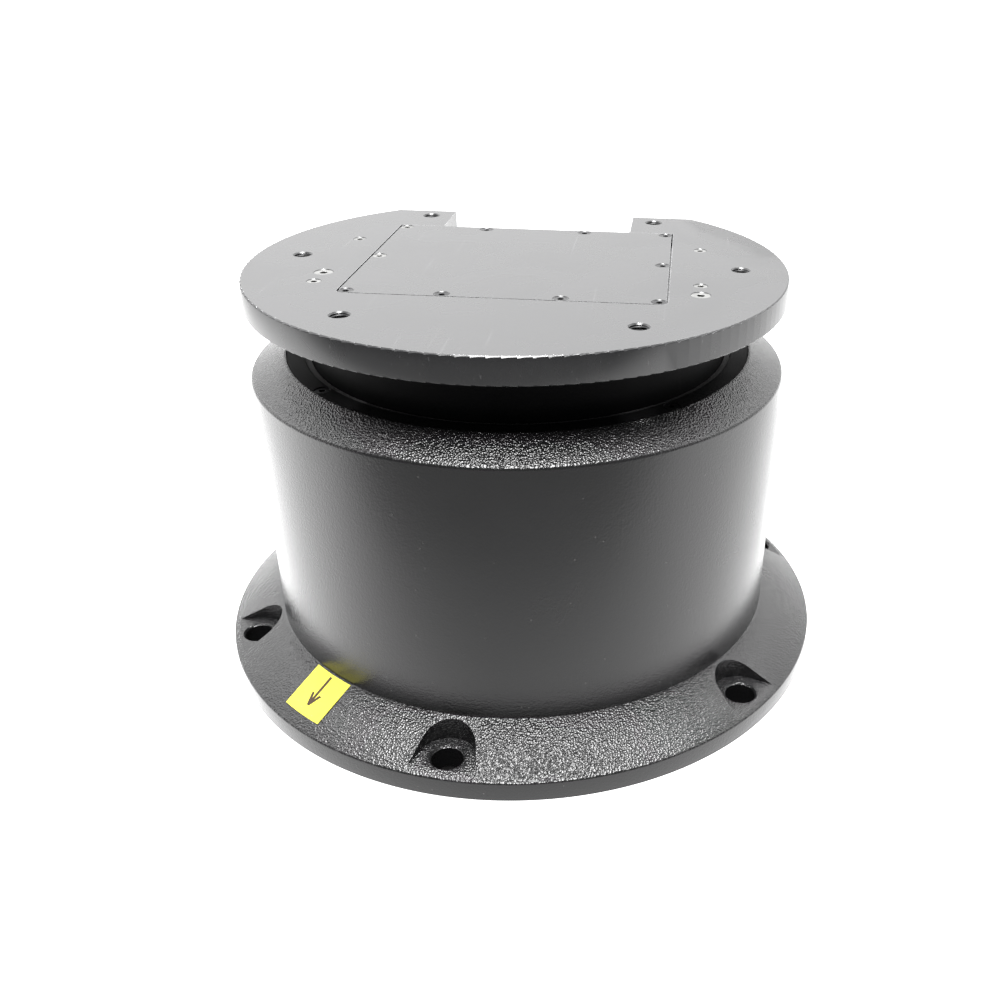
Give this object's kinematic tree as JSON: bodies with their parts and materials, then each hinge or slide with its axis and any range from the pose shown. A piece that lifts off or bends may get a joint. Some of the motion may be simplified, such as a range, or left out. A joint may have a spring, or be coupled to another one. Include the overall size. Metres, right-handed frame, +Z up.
{
  "type": "motorised rotary scanner base",
  "caption": "Flanged drum base whose direct-drive motor turns a round notched mounting plate that carries a scanning sensor head.",
  "frame": {"origin": "centre of the flange's underside, on the turning axis", "axes": "+Z up along the turning axis, +Y towards the top plate's cable notch at rest, +X to its right"},
  "size_m": [0.304, 0.304, 0.19],
  "materials": {
    "black_powder_coat": "satin black textured powder coat on cast aluminium",
    "black_anodised": "matt black anodised, fine machined face",
    "machined_aluminium": "clear machined",
    "bearing_steel": "ground and polished",
    "black_screw": "black oxide",
    "plain_screw": "plain stainless",
    "nitrile": "matt nitrile rubber",
    "core_steel": "varnished laminations",
    "copper": "enamelled copper winding",
    "magnet": "nickel plated",
    "encoder_glass": "glass graduated disc",
    "board_green": "solder resist",
    "black_plastic": "moulded",
    "cage_plastic": "moulded polyamide",
    "nickel": "nickel plated connector shell",
    "gold": "gold plated contact tracks",
    "spacer_brass": "turned brass",
    "sleeving": "woven sleeving over the wires",
    "label_yellow": "printed vinyl"
  },
  "bodies": {
    "base": {"base_flange": "black_powder_coat", "housing": "black_powder_coat", "housing_screws": "black_screw", "base_cover": "black_anodised", "base_gasket": "nitrile", "base_cover_screws": "black_screw", "seal_cover": "black_anodised", "seal_cover_screws": "black_screw", "neck_seal": "nitrile", "bearing_outer_ring": "bearing_steel", "stator_carrier": "machined_aluminium", "stator_carrier_screws": "black_screw", "stator_core": "core_steel", "stator_coils": "copper", "encoder_read_head": "black_plastic", "slip_ring_body": "black_plastic", "slip_ring_screws": "black_screw", "slip_ring_bush": "cage_plastic", "slip_ring_brushes": "gold", "control_board": "board_green", "control_board_posts": "spacer_brass", "control_board_screws": "plain_screw", "control_board_parts": "black_plastic", "stator_leads": "sleeving", "supply_leads": "sleeving", "supply_connector_shell": "nickel", "supply_connector_insert": "black_plastic", "supply_connector_screws": "plain_screw", "ground_screw": "plain_screw", "direction_label": "label_yellow"},
    "bearing_cage_body": {"bearing_cage": "cage_plastic", "bearing_balls": "bearing_steel"},
    "rotor": {"bearing_inner_ring": "bearing_steel", "rotor_hub": "black_anodised", "inner_ring_clamp": "machined_aluminium", "inner_clamp_screws": "black_screw", "rotor_yoke": "core_steel", "rotor_magnets": "magnet", "rotor_lock_ring": "bearing_steel", "encoder_disc": "encoder_glass", "encoder_disc_ring": "machined_aluminium", "slip_ring_rotor": "gold", "slip_ring_driver": "machined_aluminium", "slip_ring_driver_screws": "black_screw", "top_plate": "black_anodised", "hatch_cover": "black_anodised", "hatch_gasket": "nitrile", "hatch_screws": "black_screw", "hatch_screws_plain": "plain_screw", "plate_screws_large": "plain_screw", "plate_screws_small": "plain_screw", "connector_panel": "black_anodised", "panel_screws": "black_screw", "head_connector_shell": "nickel", "head_connector_nut": "nickel", "head_connector_insert": "black_plastic", "junction_board": "board_green", "junction_board_posts": "spacer_brass", "junction_board_sockets": "black_plastic", "rotor_leads": "sleeving"}
  },
  "joints": [
    {"name": "rotor_spin", "type": "hinge", "parent": "base", "child": "rotor", "pos_m": [0, 0, 0.127], "axis": [0, 0, 1], "continuous": true},
    {"name": "cage_turn", "type": "hinge", "parent": "base", "child": "bearing_cage_body", "pos_m": [0, 0, 0.127], "axis": [0, 0, 1], "continuous": true}
  ],
  "couplings": [
    {"joint": "cage_turn", "follows": "rotor_spin", "ratio": 0.45454}
  ]
}
